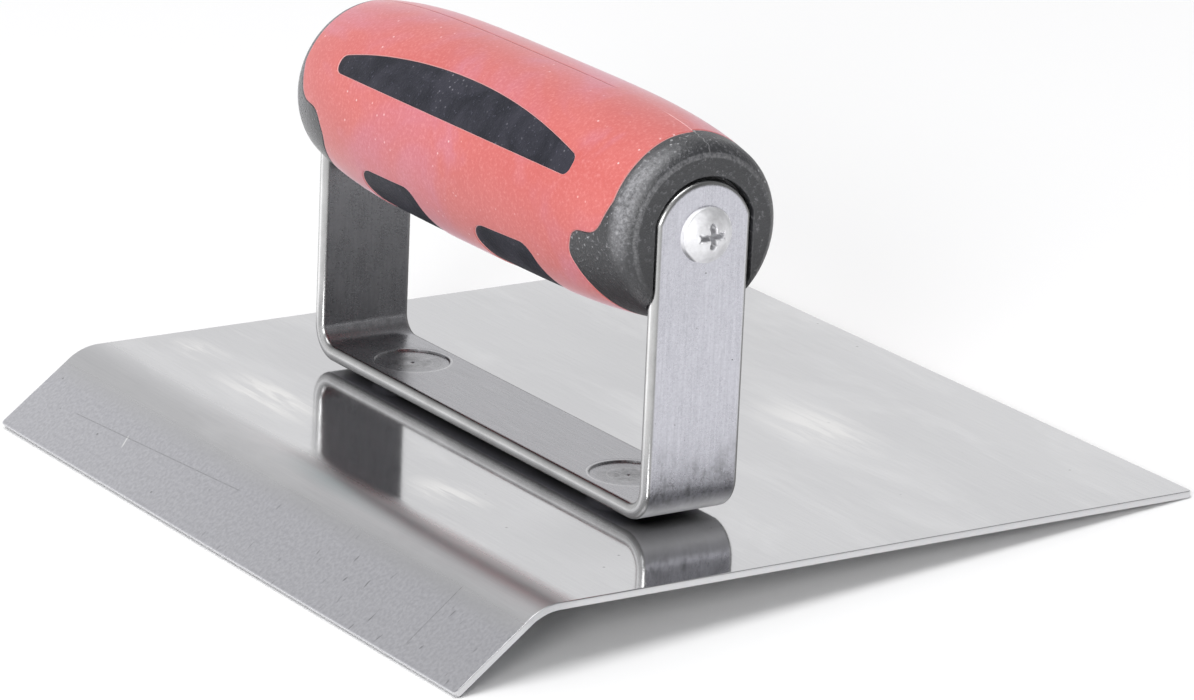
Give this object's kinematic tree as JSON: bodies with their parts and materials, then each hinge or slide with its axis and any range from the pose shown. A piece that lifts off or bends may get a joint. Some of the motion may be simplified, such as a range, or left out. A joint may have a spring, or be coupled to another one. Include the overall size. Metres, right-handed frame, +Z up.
{
  "type": "inside corner trowel",
  "caption": "Plastering hand trowel: a flat steel blade with one edge bent down, a U-shaped strap bracket on top and a round two-colour grip held between its legs by screws.",
  "frame": {"origin": "centre of the footprint, on the surface that the tool rests on", "axes": "+Z up as the tool lies on a table, +Y along the grip and the blade's long edges, +X from the bent lip towards the far edge"},
  "size_m": [0.1464, 0.1524, 0.076],
  "materials": {
    "blade_steel": "polished and lacquered, with faint wiping streaks",
    "strap_steel": "bright rolled strip, fine grain along its length, bright rounded edges",
    "weld_steel": "fused metal",
    "screw_steel": "bright zinc plate",
    "core_plastic": "fine moulded texture",
    "soft_sleeve": "soft matt moulding, slightly dusty",
    "cap_plastic": "semi-matt moulding with a fine texture"
  },
  "bodies": {
    "root": {"blade": "blade_steel", "bracket": "strap_steel", "spot_welds": "weld_steel", "handle_screws": "screw_steel", "grip_core": "core_plastic", "grip_sleeve": "soft_sleeve", "end_cap_front": "cap_plastic", "end_cap_rear": "cap_plastic"}
  },
  "joints": []
}
